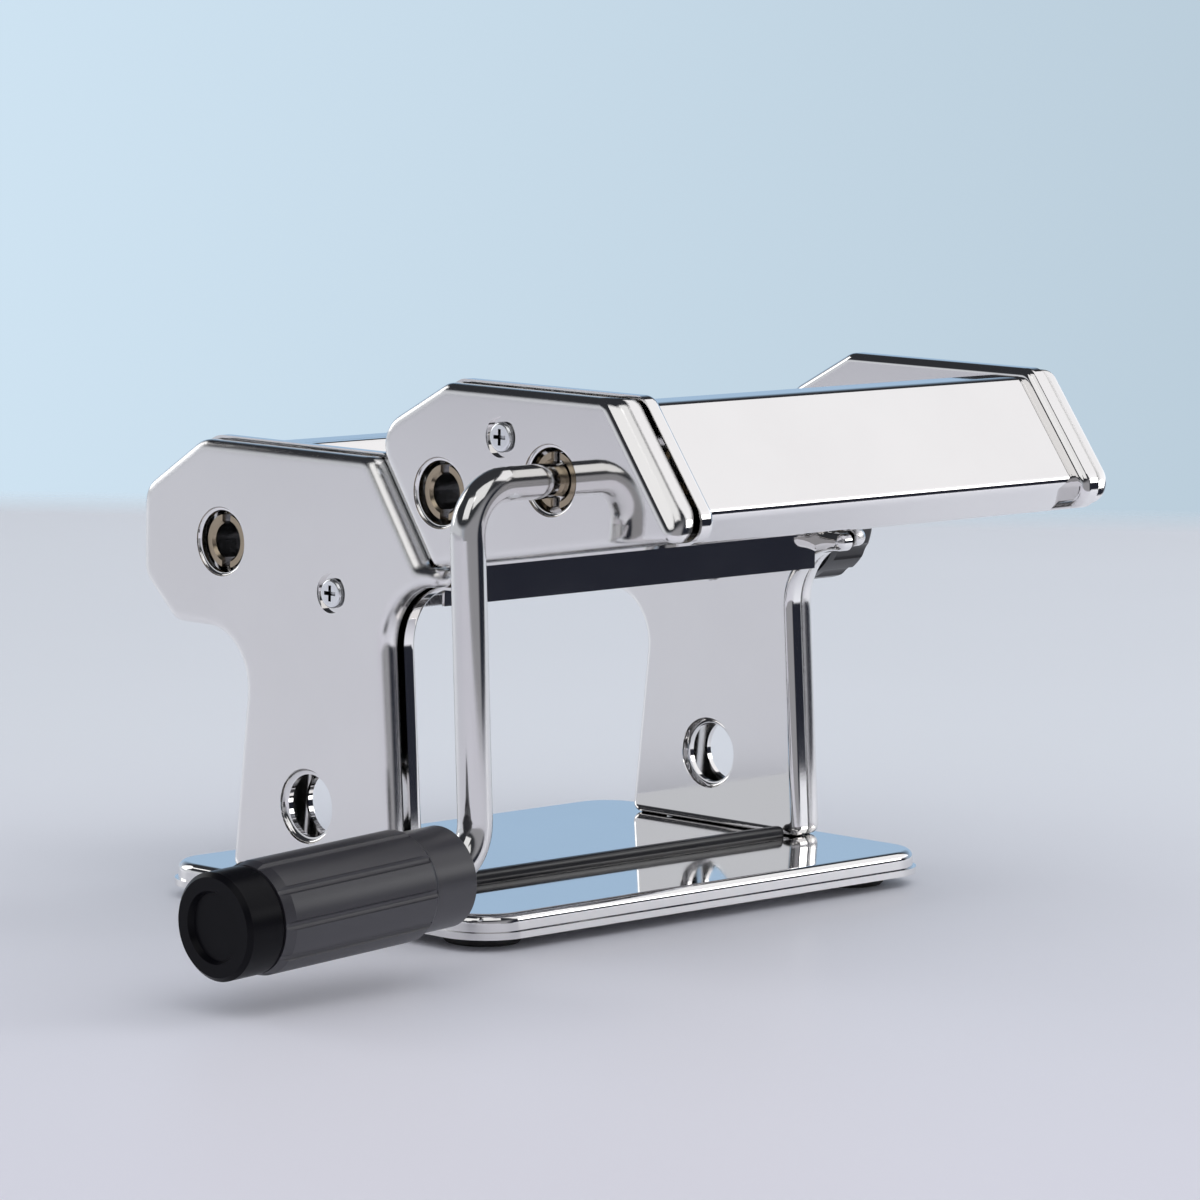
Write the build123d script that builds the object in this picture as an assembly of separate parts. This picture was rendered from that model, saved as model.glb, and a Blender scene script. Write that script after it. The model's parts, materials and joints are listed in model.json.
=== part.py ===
from build123d import *
from math import cos, pi, radians, sin, tan
import os

# Hand-cranked pasta roller machine with its two-width cutter head, millimetres.
# X runs along the rollers (crank side is -X), -Y is the cutter side, Z is up.
# The origin lies on the table, under the middle of the base plate.

# ---- fits and sheet ----
running = 0.05            # radial play of a journal in its bush
slide_play = 0.3          # play of a sliding or passing piece, each side
touch_gap = 0.3           # gap where one body rests on another
sheet = 0.8               # pressed steel sheet of walls and covers
bend = 2.5                # outside radius of the pressed edges
cover_bend = 3.0          # bend radius of the folded covers
cover_inset = 1.6         # from the wall outline to the outside of a folded cover
frame_margin = 0.9        # the frame cups stand this far outside the cover cups
nose_play = 0.2           # extra drop of the frame's nose under the cutter frame

# ---- width, along X ----
inner_width = 153.8       # between the two side frames
cup_depth = 5.4           # depth of each pressed cup
cup_gap = 1.8             # dark gap between frame cup and cover cup
frame_x = inner_width / 2
gap_x = frame_x + cup_depth
cover_edge_x = gap_x + cup_gap
outer_x = cover_edge_x + cup_depth
cavity_x = frame_x + sheet
cover_in_x = outer_x - sheet

# ---- base ----
foot_height = 3.6
rim_height = 6.9
base_side = 5.5           # from the wall face to the edge of the tray
base_depth = 135.0
base_corner = 15.0
hem_step = 1.0
hem_height = 1.9
foot_radius = 11.0
foot_inset = 19.0
base_top = foot_height + rim_height
base_width = 2 * (outer_x + base_side)

# ---- side wall outline ----
body_top = 133.0
head_front = -14.5
head_rear = 79.5
head_height = 53.5
rear_chamfer_run = 24.0
rear_chamfer_drop = 15.5
rear_low_run = 13.5
rear_low_rise = 12.5
lean = 34.3               # lean of the cutter seat from upright, degrees
nose_drop = 28.8          # from the top down to the nose
nose_reach = 8.4
nose_height = 5.4
leg_front_top = -20.0
leg_front_foot = -26.5
leg_rear_top = 33.6
leg_rear_foot = 40.5
armpit_front = 18.0
armpit_rear = 17.0
nose_z = body_top - nose_drop
seat_y = head_front - nose_drop * tan(radians(lean))

# ---- holes in the side walls ----
clamp_y = 9.2
clamp_height = 21.7       # above the base plate
clamp_radius = 9.0
clamp_lip = 1.7
socket_lip = 1.0
collar_depth = 1.6
clamp_z = base_top + clamp_height
dimple_radius = 5.7
dimple_depth = 1.2
dimple_floor_x = cover_in_x - dimple_depth

# ---- smooth rollers ----
roller_diameter = 28.0
roller_side = 2.6         # from the frame wall to the end of a roller
roller_axis_drop = 28.7   # below the top of the wall
rear_roller_y = 46.1
thin_sheet = 0.5
thick_sheet = 3.0
journal = 10.0
roller_z = body_top - roller_axis_drop
roller_end_x = frame_x - roller_side
close_centres = roller_diameter + thin_sheet
wide_centres = roller_diameter + thick_sheet
front_roller_y = rear_roller_y - wide_centres
gap_travel = thick_sheet - thin_sheet
rear_blade = 9.0          # scraper blades
front_blade = 6.0

# ---- crank sockets ----
tube_diameter = 15.4
tube_bore = 10.4
tube_reach = 2.2          # tube end below the wall face
mouth_chamfer = 0.8
notch_width = 3.4
notch_depth = 5.0
bore_depth = 24.0
socket_radius = tube_diameter / 2 + 1.3
tube_end_x = outer_x - tube_reach

# ---- bushes and gears ----
bush_wall = 2.0
bush_flange = 1.1
bush_flange_width = 1.2
gear_width = 3.2
gear_end_play = 0.25      # to the floor of the screw dimples
gear_x = dimple_floor_x - gear_end_play - gear_width
roller_teeth = 12
long_addendum = 2.6
root_play = 0.3
tooth_share = 0.40
tip_share = 0.13

# ---- thickness adjuster ----
adjuster_back = 24.6      # in front of the front roller
shaft_diameter = 8.0
flat_length = 16.0
lobe_diameter = 10.8
turn_degrees = 150.0
settings = 7
yoke_play = 0.22
block_thickness = 3.0
block_wall = 3.0
boss_diameter = 15.0
boss_reach = 0.4          # boss end past the inside of the frame wall
block_ring = 9.5
arm_height = 12.0
adjuster_y = front_roller_y - adjuster_back
adjuster_z = roller_z
lobe_throw = gap_travel / 2 / sin(radians(turn_degrees / 2))
block_x = cavity_x + 0.2
index_plate_thickness = 1.4
index_plate_radius = 17.0
index_circle = 12.5
index_slot = 3.5
index_pin = 3.0
index_hole = 4.4
knob_diameter = 38.0
knob_height = 17.0
knob_pull = 4.5
knob_pocket = 14.6
knob_web = 4.4
knob_lugs = 12
spring_wire = 0.9
spring_turns = 3.5
spring_length = 8.2

# ---- tie rods and screws ----
rod_diameter = 7.0
screw_diameter = 4.0
screw_head = 8.4
screw_length = 20.0
base_screw_diameter = 3.0
base_screw_head = 6.0
screw_play = 0.1
body_rod_y = 0.1
body_rod_drop = 39.3
rear_rod_y = 66.0
rear_rod_drop = 42.0

# ---- hopper and covers of the body ----
mouth_front = 9.0
mouth_rear = 44.0
throat_front = 10.0       # throat edges, from the middle of the nip
throat_rear = 5.0
throat_drop = 10.5
deck_drop = 2.0
front_cover_end = 12.0
rear_cover_return = 16.0

# ---- cutter head ----
cutter_gap = 4.8          # air gap between body wall and cutter cap
cap_rear_rise = 36.0
cap_slope = 28.4          # of the rear top edge, degrees
cap_height = 51.5
cap_top_length = 68.5
front_lean = 36.4         # of the front edge from upright, degrees
chin_rise = 5.5           # bend under the front plate, above the nose of the cap
chin_angle = 42.0         # of the return under the front plate, degrees
chin_length = 12.5
chin_flange = 4.5
belly_tilt = 9.2          # rise of the underside toward the front, degrees
cap_frame_depth = cup_depth + 0.25
cap_corner = 6.0
cap_rear_corner = 9.5
cap_nose_corner = 6.5
tongue_thickness = 1.2
tongue_length = 32.0
tongue_inner_width = 5.3
tongue_outer_width = 3.6
cutter_travel = 50.0
cap_y = seat_y - cutter_gap / cos(radians(lean))
cap_z = nose_z + touch_gap

# ---- cutting rollers ----
cutter_diameter = 21.0
cutter_centre_distance = 18.5
cutter_core = 15.4
ridge_play = 0.12
cut_side = 4.9            # from the frame wall to the first ridge
wide_cut = 4.0
fine_cut = 2.0
pair_distance = 43.2
cutter_journal = 8.0
cutter_teeth = 10
cutter_addendum = 1.5
first_roller_in = -2.6
first_roller_up = 21.0
cut_length = inner_width - 2 * cut_side
comb_thickness = 1.2
comb_reach = 15.2
comb_play = 0.35
comb_lean = 14.0
screw_back = 26.2
screw_up = 38.2

# ---- crank ----
rod_round = 9.6
crank_out = 31.6          # from the wall face to the arm
crank_arm = 103.4
crank_bend = 13.0
crank_droop = 3.2         # the loose socket lets the crank hang a little low
crank_insert = 20.0
crank_travel = 26.0
ear_width = 2.8
grip_start = 12.5         # from the arm to the grip
grip_body_length = 70.6
grip_cap_length = 12.6
grip_collar = 27.6
grip_collar_length = 15.0
grip_diameter = 30.4
grip_cap_diameter = 28.8
grip_grooves = 10
groove_radius = 1.3
groove_depth = 0.9
grip_cap_recess = 19.4
grip_cap_recess_depth = 1.6
spigot_diameter = 18.0
spigot_length = 5.0
nut_pocket = 10.8
nut_thickness = 1.2


# ---- helpers ----
def side_plane(x):
    return Plane(origin=(x, 0, 0), x_dir=(0, 1, 0), z_dir=(1, 0, 0))


def slab(sketch, x_from, x_to):
    # a sketch in (Y, Z) made solid between two X positions
    return extrude(side_plane(x_from) * sketch, amount=x_to - x_from)


def outline(corners):
    # corners are (y, z, radius)
    line = FilletPolyline(*[(y, z) for y, z, r in corners], radius=[r for y, z, r in corners], close=True)
    return make_face(line)


def disc(y, z, radius, x_from, x_to):
    return slab(Pos(y, z) * Circle(radius), x_from, x_to)


def turned(points, y, z):
    # a profile of (x, radius) points turned about the line through (y, z) along X
    return Pos(0, y, z) * revolve(make_face(Polyline(*points, close=True)), Axis.X)


def ring(y, z, inner, outer, x_from, x_to):
    return slab(Pos(y, z) * (Circle(outer) - Circle(inner)), x_from, x_to)


def mirrored(solid):
    return mirror(solid, about=Plane.YZ)


def spine(points, radii, thickness):
    # a folded sheet's section: a line of (y, z) points with bends, given its thickness
    return trace(FilletPolyline(*points, radius=radii), line_width=thickness)


def folded(points, radii, thickness=sheet, half_length=frame_x):
    return slab(spine(points, radii, thickness), -half_length, half_length)


def polar(centre, angle, distance):
    return (centre[0] + distance * cos(radians(angle)), centre[1] + distance * sin(radians(angle)))


def meet(p, p_angle, q, q_angle):
    # where the line through p at p_angle crosses the line through q at q_angle
    a, b = radians(p_angle), radians(q_angle)
    step = ((q[0] - p[0]) * sin(b) - (q[1] - p[1]) * cos(b)) / (cos(a) * sin(b) - sin(a) * cos(b))
    return (p[0] + step * cos(a), p[1] + step * sin(a))


def cup(face, depth):
    # a pressed cup: flat face at height 0, rolled edge, walls up to depth
    outside = extrude(face, amount=depth)
    outside = fillet(outside.faces().sort_by(Axis.Z)[0].edges(), bend)
    inside = Pos(0, 0, sheet) * extrude(offset(face, -sheet), amount=depth)
    inside = fillet(inside.faces().sort_by(Axis.Z)[0].edges(), bend - sheet)
    return outside - inside


def rolled_hole(solid, y, z, radius, lip):
    # a hole whose edge is rolled inward to a short collar, in a cup's own frame
    reach = lip + collar_depth
    edge = radius + lip
    line = [
        Line((edge + 0.4, 0), (edge, 0)),
        RadiusArc((edge, 0), (radius, lip), -lip),
        Line((radius, lip), (radius, reach)),
        Line((radius, reach), (radius + sheet, reach)),
        Line((radius + sheet, reach), (radius + sheet, lip)),
        RadiusArc((radius + sheet, lip), (edge, sheet), lip - sheet),
        Line((edge, sheet), (edge + 0.4, sheet)),
        Line((edge + 0.4, sheet), (edge + 0.4, 0)),
    ]
    section = Plane.XZ * make_face(Curve() + line)
    collar = Pos(y, z) * revolve(section, Axis.Z)
    hole = Pos(y, z) * extrude(Circle(edge), amount=reach)
    return solid - hole + collar


def screw_dimple(solid, y, z):
    # a pressed dimple that sinks the screw head, in a cup's own frame
    floor = sheet + dimple_depth
    wall = Pos(y, z) * extrude(Circle(dimple_radius + sheet), amount=floor)
    recess = Pos(y, z) * extrude(Circle(dimple_radius), amount=dimple_depth)
    shank = Pos(y, z) * extrude(Circle(screw_diameter / 2 + screw_play), amount=floor)
    return solid + wall - recess - shank


def round_hole(solid, y, z, radius):
    return solid - Pos(y, z) * extrude(Circle(radius), amount=cup_depth, both=True)


def gear_face(teeth, centres, addendum, root_radius, tip_half_share):
    # straight-flanked teeth, slim enough to run with plenty of backlash
    pitch_radius = centres / 2
    tip_radius = pitch_radius + addendum
    step = 2 * pi / teeth
    points = []
    for index in range(teeth):
        middle = index * step
        for radius, share in (
            (root_radius, -tooth_share * 0.62),
            (pitch_radius, -tooth_share / 2),
            (tip_radius, -tip_half_share / 2),
            (tip_radius, tip_half_share / 2),
            (pitch_radius, tooth_share / 2),
            (root_radius, tooth_share * 0.62),
        ):
            angle = middle + share * step
            points.append((radius * cos(angle), radius * sin(angle)))
    return make_face(Polyline(*points, close=True))


def bush(y, z, bore_radius, hand):
    # a flanged bush seated in the frame wall, flange inside the wall cavity
    barrel = bore_radius + bush_wall
    bush_solid = ring(y, z, bore_radius, barrel, frame_x, cavity_x)
    bush_solid += ring(y, z, bore_radius, barrel + bush_flange, cavity_x, cavity_x + bush_flange_width)
    return bush_solid if hand > 0 else mirrored(bush_solid)


def pan_screw(diameter, head, length):
    # domed cross-head screw: head seated at height 0, shank going down
    height = head * 0.2
    arm = head * 0.13
    dome = extrude(Circle(head / 2), amount=height)
    dome = fillet(dome.edges().sort_by(Axis.Z)[-1], height * 0.6)
    cross = Pos(0, 0, height) * (Box(head * 0.54, arm, height * 1.7) + Box(arm, head * 0.54, height * 1.7))
    shank = Pos(0, 0, -length) * extrude(Circle(diameter / 2), amount=length)
    return dome + shank - cross


# ---- outlines of the walls ----
def body_outline(margin=0.0):
    # margin grows the outline everywhere but at the seat, the nose and the feet
    top = body_top + margin
    rear = head_rear + margin
    low = body_top - head_height - margin
    drop = margin + nose_play if margin else 0.0
    nose_top = nose_z - drop
    nose_low = nose_top - nose_height
    return outline([
        (head_front + margin * tan(radians(lean)), top, 4.0),
        (head_rear - rear_chamfer_run + margin / 2, top, 10.0),
        (rear, body_top - rear_chamfer_drop + margin / 2, 8.0),
        (rear, body_top - head_height + rear_low_rise - margin / 2, 8.0),
        (head_rear - rear_low_run + margin / 2, low, 7.0),
        (leg_rear_top + margin, low, armpit_rear - margin),
        (leg_rear_foot + margin, base_top, 3.0),
        (leg_front_foot - margin, base_top, 3.0),
        (leg_front_top - margin, nose_low, armpit_front - margin),
        (seat_y - nose_reach, nose_low, bend + 0.1),
        (seat_y - nose_reach, nose_top, bend + 0.1),
        (seat_y - drop * tan(radians(lean)), nose_top, 1.5),
    ])


def cap_corners(margin=0.0):
    # margin grows the outline everywhere but along the slanted seat
    heel = (cap_y, cap_z)
    shoulder = polar(heel, 90 - lean, cap_rear_rise / cos(radians(lean)))
    top = cap_z + cap_height
    brow = meet(shoulder, 180 - cap_slope, (0, top), 0)[0] - cap_top_length
    belly = polar(heel, 270 - belly_tilt, margin)
    slope = polar(shoulder, 90 - cap_slope, margin)
    front = polar((brow, top), 180 - front_lean, margin)
    ceiling = (0, top + margin)
    rear_low = meet(heel, 90 - lean, belly, 180 - belly_tilt)
    rear_high = meet(heel, 90 - lean, slope, 180 - cap_slope)
    rear_top = meet(slope, 180 - cap_slope, ceiling, 0)
    front_top = meet(front, 90 - front_lean, ceiling, 0)
    front_low = meet(front, 90 - front_lean, belly, 180 - belly_tilt)
    return rear_low, rear_high, rear_top, front_top, front_low


def cap_outline(margin=0.0):
    rear_low, rear_high, rear_top, front_top, front_low = cap_corners(margin)
    return outline([
        (*rear_low, 3.0),
        (*rear_high, cap_rear_corner),
        (*rear_top, cap_corner),
        (*front_top, 5.0),
        (*front_low, cap_nose_corner),
    ])


# ---- places in the cutter head ----
def cutter_axes():
    first = (cap_y + first_roller_in, cap_z + first_roller_up)
    along = 180 - belly_tilt
    return {
        "rear_a": first,
        "rear_b": polar(first, along, cutter_centre_distance),
        "front_a": polar(first, along, pair_distance),
        "front_b": polar(first, along, pair_distance + cutter_centre_distance),
    }


axes = cutter_axes()
cap_rod = (cap_y - screw_back, cap_z + screw_up)
lower_rod = polar(cap_corners()[4], 28, 22.0)
body_rod = (body_rod_y, body_top - body_rod_drop)
rear_rod = (rear_rod_y, body_top - rear_rod_drop)
base_screw_ys = (leg_front_foot + 14.0, leg_rear_foot - 14.0)
screw_x = (cavity_x + gap_x) / 2 - 0.15


# ---- base ----
def base_plate():
    tray_width = base_width - 2 * hem_step
    tray_depth = base_depth - 2 * hem_step
    face = RectangleRounded(tray_width, tray_depth, base_corner - hem_step)
    tray = Pos(0, 0, base_top) * (Rot(180, 0, 0) * cup(face, rim_height))
    hem_face = RectangleRounded(base_width, base_depth, base_corner) - offset(face, -sheet)
    hem = Pos(0, 0, foot_height) * extrude(hem_face, amount=hem_height)
    tray += hem
    for x in (-screw_x, screw_x):
        for y in base_screw_ys:
            tray -= Pos(x, y, base_top) * extrude(Circle(base_screw_diameter / 2 + screw_play), amount=-2 * sheet)
    return tray


def base_feet():
    # rubber pads pushed up under the tray corners
    feet = []
    for x in (-1, 1):
        for y in (-1, 1):
            pad = extrude(Circle(foot_radius), amount=base_top - sheet)
            pad = chamfer(pad.edges().sort_by(Axis.Z)[0], 0.8)
            feet.append(Pos(x * (base_width / 2 - foot_inset), y * (base_depth / 2 - foot_inset)) * pad)
    return feet


def leg_brackets():
    # threaded bars inside the frame cups, above the base plate
    bars = []
    low = base_top + sheet
    width = gap_x - cavity_x - 0.3
    length = leg_rear_foot - leg_front_foot - 12.0
    middle = (leg_rear_foot + leg_front_foot) / 2
    for side in (-1, 1):
        bar = Pos(side * (cavity_x + width / 2), middle, low) * extrude(Rectangle(width, length), amount=7.0)
        corner = bar.edges().filter_by(Axis.Y).group_by(Axis.Z)[0].sort_by(Axis.X)[0 if side > 0 else -1]
        bar = fillet(corner, bend - sheet + 0.1)
        for y in base_screw_ys:
            bar -= Pos(side * screw_x, y, low) * extrude(Circle(base_screw_diameter / 2 + running), amount=7.0)
        bars.append(bar)
    return bars


def base_screws():
    screws = []
    for x in (-screw_x, screw_x):
        for y in base_screw_ys:
            screw = Rot(180, 0, 0) * pan_screw(base_screw_diameter, base_screw_head, 7.0)
            screws.append(Pos(x, y, base_top - sheet) * screw)
    return screws


# ---- side walls ----
def side_cover(hand):
    # outer pressed cup, in its own frame, then set on its side
    shell = cup(body_outline(), cup_depth)
    shell = rolled_hole(shell, clamp_y, clamp_z, clamp_radius, clamp_lip)
    shell = screw_dimple(shell, *(body_rod if hand < 0 else rear_rod))
    if hand < 0:
        shell = rolled_hole(shell, rear_roller_y, roller_z, socket_radius, socket_lip)
    else:
        shell = round_hole(shell, adjuster_y, adjuster_z, shaft_diameter / 2 + slide_play)
    placed = side_plane(-outer_x) * shell
    return placed if hand < 0 else mirrored(placed)


def side_frame(hand):
    # inner pressed cup that carries the bushes, rods and covers
    shell = cup(body_outline(frame_margin), cup_depth)
    shell = rolled_hole(shell, clamp_y, clamp_z, clamp_radius, clamp_lip)
    bush_bore = tube_diameter / 2 if hand < 0 else journal / 2
    shell = round_hole(shell, rear_roller_y, roller_z, bush_bore + running + bush_wall)
    shell = round_hole(shell, adjuster_y, adjuster_z, shaft_diameter / 2 + running + bush_wall)
    slot = SlotCenterToCenter(gap_travel + 0.3, boss_diameter + 0.3)
    slot_middle = front_roller_y + gap_travel / 2
    shell -= Pos(slot_middle, roller_z) * extrude(slot, amount=sheet * 2, both=True)
    shell = round_hole(shell, *(body_rod if hand < 0 else rear_rod), screw_diameter / 2 + screw_play)
    placed = side_plane(frame_x) * shell
    for y in base_screw_ys:
        placed -= Pos(screw_x, y, base_top - 1) * extrude(Circle(base_screw_diameter / 2 + screw_play), amount=3)
    return placed if hand > 0 else mirrored(placed)


def tie_rod(place, tapped_sides):
    # bar between the two frames, tapped where a cover screw enters
    rod = disc(*place, rod_diameter / 2, -frame_x, frame_x)
    for side in tapped_sides:
        low, high = sorted((side * (frame_x - 12.0), side * frame_x))
        rod -= disc(*place, screw_diameter / 2 + running, low, high)
    return rod


def spacer(place, side):
    # tube on the cover screw, from the frame wall to the floor of the dimple
    low, high = sorted((side * cavity_x, side * dimple_floor_x))
    return ring(*place, screw_diameter / 2 + screw_play, rod_diameter / 2, low, high)


def wall_screw(place, side):
    seat = Plane(origin=(side * (outer_x - dimple_depth), *place), z_dir=(side, 0, 0))
    return seat * pan_screw(screw_diameter, screw_head, screw_length)


# ---- folded covers of the body ----
def front_cover():
    # slopes down behind the cutter seat and ends in a lip under the nose
    top = body_top - deck_drop - sheet / 2
    inset = cover_inset + sheet / 2
    slope_inset = inset / cos(radians(lean))
    crown = (head_front + slope_inset - deck_drop * tan(radians(lean)), top)
    foot = meet(crown, 90 - lean, (0, nose_z - 1.0), 0)
    lip = (foot[0], nose_z - front_cover_end)
    return folded([(mouth_front - 6.0, top), crown, foot, lip], [cover_bend, 4.0])


def hopper_front():
    # feed plate from the deck down to the front roller
    deck = body_top - deck_drop - sheet / 2
    throat = rear_roller_y - close_centres / 2 - throat_front
    return folded([(mouth_front - 5.8, deck), (mouth_front, deck), (throat, deck - throat_drop)], [cover_bend])


def hopper_rear():
    deck = body_top - deck_drop - sheet / 2
    throat = rear_roller_y - close_centres / 2 + throat_rear
    return folded([(mouth_rear + 1.0, deck), (mouth_rear - 2.0, deck), (throat, deck - throat_drop)], [1.0])


def rear_cover():
    # follows the rear of the wall outline a little inside it
    inset = cover_inset + sheet / 2
    deck = body_top - deck_drop - sheet / 2
    low = body_top - head_height
    points = [
        (mouth_rear + 1.2, deck),
        (head_rear - rear_chamfer_run - 0.3, deck),
        (head_rear - inset, body_top - rear_chamfer_drop - 1.0),
        (head_rear - inset, low + rear_low_rise + 0.8),
        (head_rear - rear_low_run - 0.8, low + inset),
        (leg_rear_top + rear_cover_return, low + inset),
    ]
    return folded(points, [6.0, 6.0, 6.0, 5.0])


# ---- smooth rollers ----
def rear_roller():
    # solid steel, bored at the crank end to take the crank's tang
    end = roller_end_x
    points = [(-end, 0), (-end, roller_diameter / 2), (end, roller_diameter / 2), (end, journal / 2)]
    points += [(cover_in_x - 0.3, journal / 2), (cover_in_x - 0.3, 0)]
    return with_socket(turned(points, rear_roller_y, roller_z), rear_roller_y, roller_z)


def with_socket(roller, y, z):
    # drive tube on a roller's end, bored for the crank and notched for its ears
    tube = disc(y, z, tube_diameter / 2, -tube_end_x, -roller_end_x)
    bore = disc(y, z, tube_bore / 2, -tube_end_x, bore_depth - tube_end_x)
    edge = tube_bore / 2 + mouth_chamfer
    mouth = turned([(-tube_end_x, 0), (-tube_end_x, edge), (mouth_chamfer - tube_end_x, tube_bore / 2)]
                   + [(mouth_chamfer - tube_end_x, 0)], y, z)
    notch = Pos(-tube_end_x, y, z) * Box(2 * notch_depth, notch_width, tube_diameter + 2)
    return roller + tube - bore - mouth - notch


def front_roller():
    end = roller_end_x
    left = block_x + block_thickness + 0.3
    points = [(-left, 0), (-left, journal / 2), (-end, journal / 2), (-end, roller_diameter / 2)]
    points += [(end, roller_diameter / 2), (end, journal / 2), (cover_in_x - 0.3, journal / 2), (cover_in_x - 0.3, 0)]
    return turned(points, front_roller_y, roller_z)


def roller_gear(y, phase):
    # long slim teeth stay in mesh over the whole range of sheet thickness
    tip = close_centres / 2 + long_addendum
    face = gear_face(roller_teeth, close_centres, long_addendum, close_centres - tip - root_play, tip_share)
    face -= Circle(journal / 2)
    return slab(Pos(y, roller_z) * (Rot(0, 0, phase) * face), gear_x, gear_x + gear_width)


def scraper(y, out_angle, length, left_bore, right_bore, lug_x):
    # blade close to the roller, with a lug round the roller's shaft at each end
    centre = (y, roller_z)
    tip = roller_diameter / 2 + touch_gap
    lug = 1.2
    blade_middle = polar(centre, out_angle, tip + length / 2)
    blade = Pos(*blade_middle) * (Rot(0, 0, out_angle) * Rectangle(length, 1.0))
    solid = slab(blade, -lug_x, lug_x)
    strap_middle = polar(centre, out_angle, (tip + length) / 2)
    strap = Pos(*strap_middle) * (Rot(0, 0, out_angle) * Rectangle(tip + length, 7.0))
    for side, bore in ((-1, left_bore), (1, right_bore)):
        low, high = sorted((side * (lug_x - lug), side * lug_x))
        eye = Pos(*centre) * Circle(bore + 2.6) + strap - Pos(*centre) * Circle(bore)
        solid += slab(eye, low, high)
    return solid


# ---- thickness adjuster ----
def bearing_block(hand):
    # slides in the frame's slot; its yoke rides on the adjuster's eccentric
    roller_place = Pos(front_roller_y, roller_z)
    yoke_y = adjuster_y - gap_travel / 2
    yoke_z = adjuster_z + lobe_throw * 0.62
    slot = Pos(yoke_y, yoke_z) * (Rot(0, 0, 90) * SlotCenterToCenter(1.2, lobe_diameter + 2 * yoke_play))
    head = Pos(yoke_y, yoke_z) * RectangleRounded(lobe_diameter + 2 * block_wall, lobe_diameter + 2 * block_wall, 3)
    arm_middle = ((front_roller_y + yoke_y) / 2, roller_z + 1.0)
    arm = Pos(*arm_middle) * Rectangle(front_roller_y - yoke_y, arm_height)
    plate = roller_place * Circle(block_ring) + head + arm - slot - roller_place * Circle(journal / 2 + running)
    block = slab(plate, block_x, block_x + block_thickness)
    bore = journal / 2 + running
    block += ring(front_roller_y, roller_z, bore, boss_diameter / 2, frame_x - boss_reach, block_x)
    return block if hand > 0 else mirrored(block)


def lobe_place():
    start = 90 + turn_degrees / 2
    return polar((adjuster_y, adjuster_z), start, lobe_throw)


def adjuster_shaft():
    # cross shaft with an eccentric at each end and a flatted tail for the knob
    radius = shaft_diameter / 2
    left = block_x + block_thickness + 0.6
    tail = outer_x + index_plate_thickness + touch_gap + knob_web + spring_length
    shaft = disc(adjuster_y, adjuster_z, radius, -left, tail)
    for side in (-1, 1):
        low, high = sorted((side * block_x, side * (block_x + block_thickness)))
        shaft += disc(*lobe_place(), lobe_diameter / 2, low, high)
    flat = Pos(tail - flat_length / 2, adjuster_y, adjuster_z + radius + 1.0) * Box(flat_length, shaft_diameter, 4.0)
    return shaft - flat


def adjuster_bushes():
    bore = shaft_diameter / 2 + running
    barrel = bore + bush_wall
    bushes = []
    for side in (-1, 1):
        low, high = sorted((side * frame_x, side * cavity_x))
        inner_low, inner_high = sorted((side * (frame_x - bush_flange_width), side * frame_x))
        solid = ring(adjuster_y, adjuster_z, bore, barrel, low, high)
        solid += ring(adjuster_y, adjuster_z, bore, barrel + bush_flange, inner_low, inner_high)
        bushes.append(solid)
    return bushes


def index_angles():
    step = turn_degrees / (settings - 1)
    return [-90 - turn_degrees / 2 + step * index for index in range(settings)]


def index_plate():
    # ring on the wall with an arc slot, widened at each of the settings
    centre = (adjuster_y, adjuster_z)
    face = Circle(index_plate_radius) - Circle(shaft_diameter / 2 + slide_play)
    first, last = index_angles()[0], index_angles()[-1]
    arc = CenterArc((0, 0), index_circle, first, last - first)
    face -= trace(arc, line_width=index_slot)
    for angle in index_angles():
        face -= Pos(*polar((0, 0), angle, index_circle)) * Circle(index_hole / 2)
    return slab(Pos(*centre) * face, outer_x, outer_x + index_plate_thickness)


def knob_back():
    return outer_x + index_plate_thickness + touch_gap


def adjuster_knob():
    # pull out against the spring, turn, and let the pin drop in
    back = knob_back()
    front = back + knob_height
    radius = knob_diameter / 2
    body = disc(0, 0, radius, back, front)
    body = fillet(body.faces().sort_by(Axis.X)[-1].edges(), 2.0)
    for index in range(knob_lugs):
        y, z = polar((0, 0), index * 360 / knob_lugs, radius + 3.0)
        body -= disc(y, z, 4.2, back + 3.0, front)
    body -= disc(0, 0, knob_pocket / 2, back + knob_web, front - 1.2)
    body -= disc(0, 0, knob_pocket / 2 + 1.0, front - 1.2, front)
    bore = Circle(shaft_diameter / 2 + 0.1)
    bore -= Pos(0, shaft_diameter / 2 + 0.05) * Rectangle(shaft_diameter, 1.9)
    body -= slab(bore, back, back + knob_web)
    pin = polar((0, 0), index_angles()[-1], index_circle)
    body += disc(*pin, index_pin / 2, back - touch_gap - 1.1, back + 0.5)
    return Pos(0, adjuster_y, adjuster_z) * body


def knob_cap():
    front = knob_back() + knob_height
    return disc(adjuster_y, adjuster_z, knob_pocket / 2 + 1.0, front - 1.2, front)


def knob_spring():
    # pushes the knob toward the wall
    radius = shaft_diameter / 2 + 1.4
    start = knob_back() + knob_web + spring_wire / 2 + 0.1
    height = spring_length - spring_wire - 0.2
    path = Helix(pitch=height / spring_turns, height=height, radius=radius)
    section = Plane(origin=path @ 0, z_dir=path % 0) * Circle(spring_wire / 2)
    coil = sweep(section, path=path)
    return Plane(origin=(start, adjuster_y, adjuster_z), z_dir=(1, 0, 0)) * coil


def knob_screw():
    tail = outer_x + index_plate_thickness + touch_gap + knob_web + spring_length
    return disc(adjuster_y, adjuster_z, 6.4, tail, tail + 1.8)


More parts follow.
